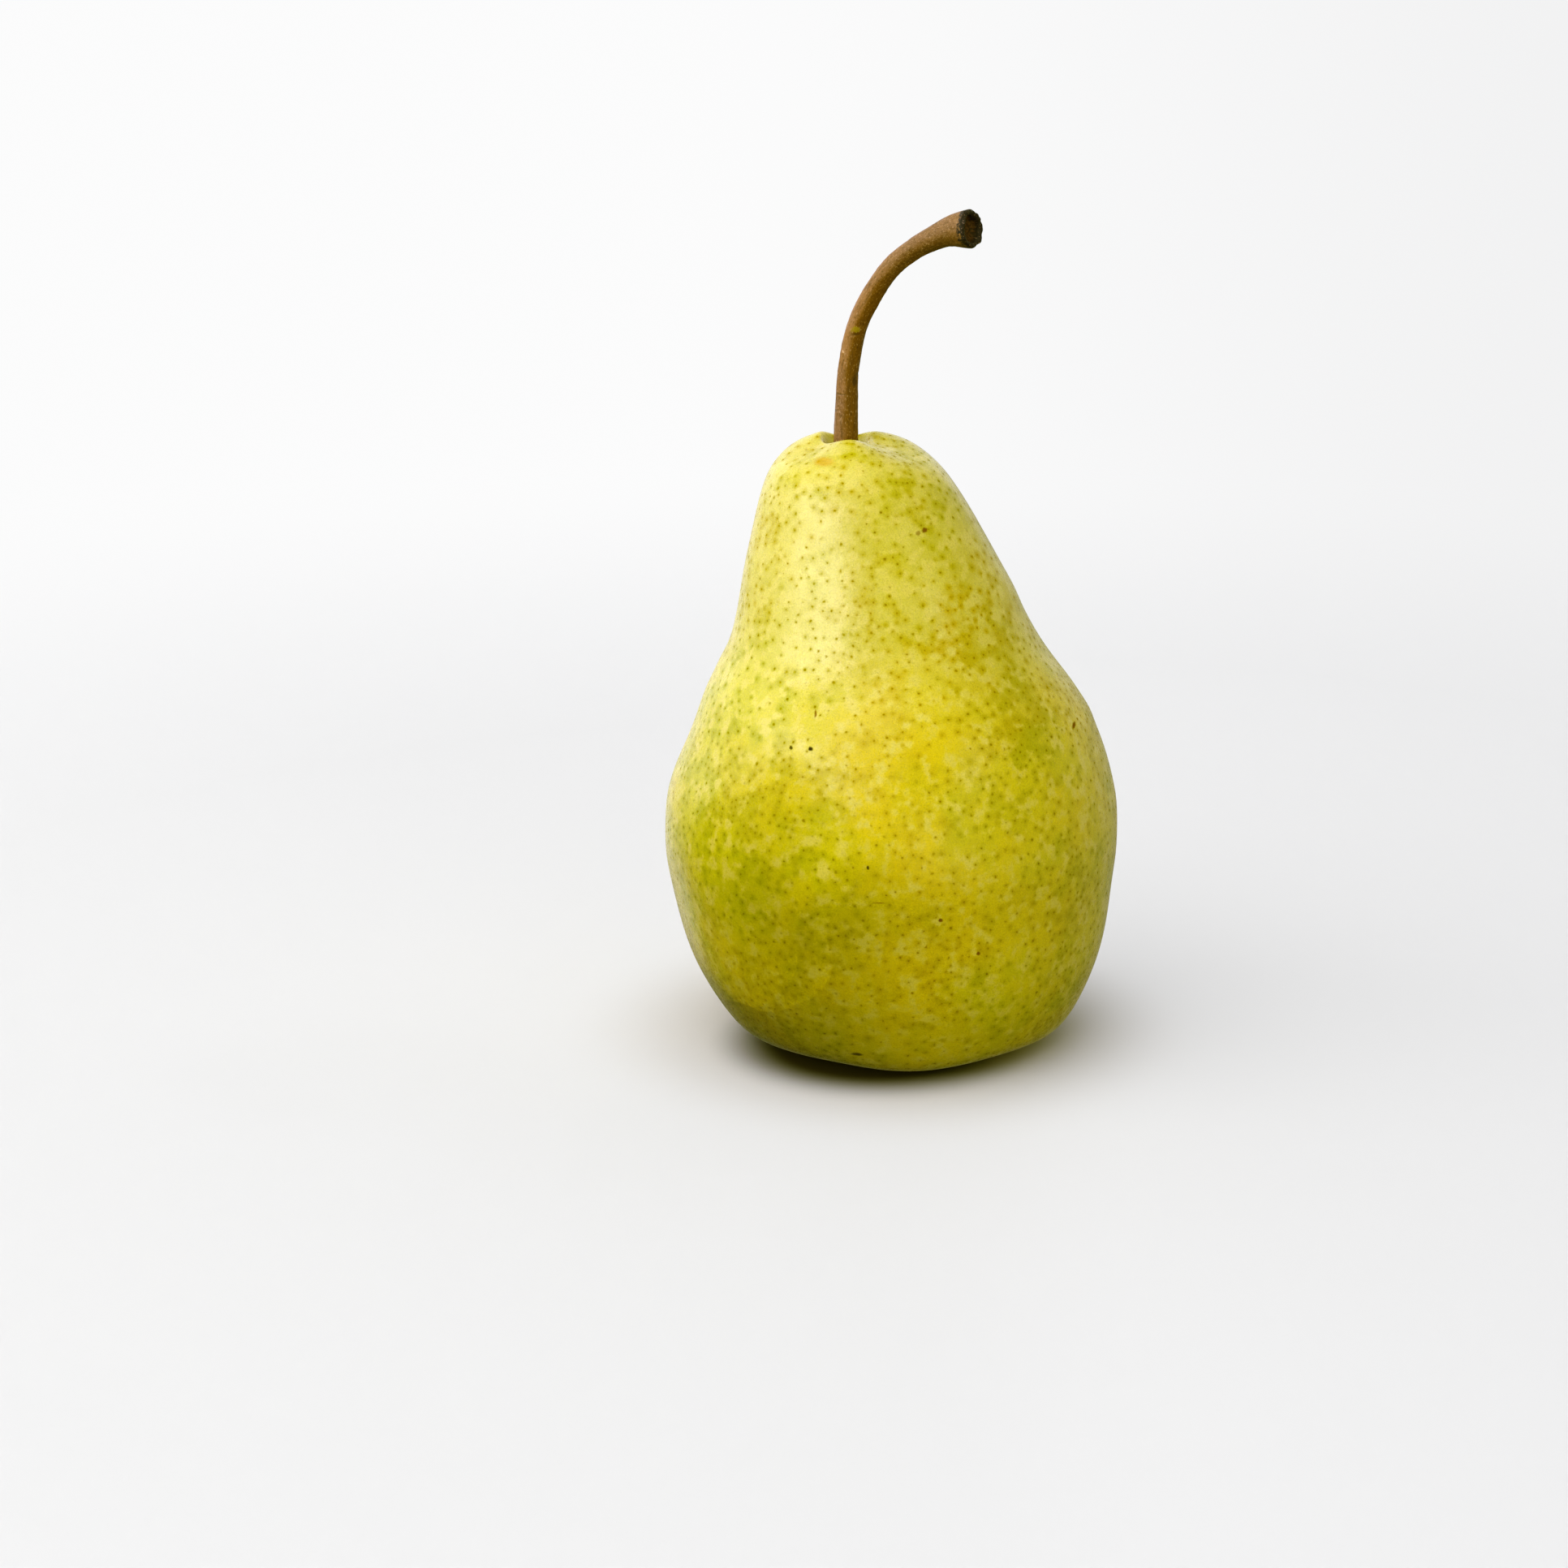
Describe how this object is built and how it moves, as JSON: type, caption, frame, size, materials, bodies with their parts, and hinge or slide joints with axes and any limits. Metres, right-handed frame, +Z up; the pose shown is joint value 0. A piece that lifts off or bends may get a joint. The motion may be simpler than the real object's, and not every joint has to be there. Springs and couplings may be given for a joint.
{
  "type": "pear",
  "caption": "Ripe whole pear standing on its lobed base, with a leaning neck, a long curved woody stalk and a dried star-shaped calyx underneath.",
  "frame": {"origin": "on the ground, under the middle of the pear's bounding box", "axes": "+Z up along the pear from its blossom end to its stalk; the front faces -Y; the neck leans towards -X and the stalk bends towards +X and -Y"},
  "size_m": [0.0656, 0.0646, 0.121],
  "materials": {
    "pear_skin": "yellow-green fruit skin with a soft waxy gloss, freckled with small green-brown lenticels",
    "stalk_bark": "dull grey-brown bark with fine pale specks, blackened at the broken end",
    "calyx_husk": "dry, dark brown, papery and matte"
  },
  "bodies": {
    "root": {"pear_fruit": "pear_skin", "pear_stalk": "stalk_bark", "pear_calyx": "calyx_husk"}
  },
  "joints": []
}
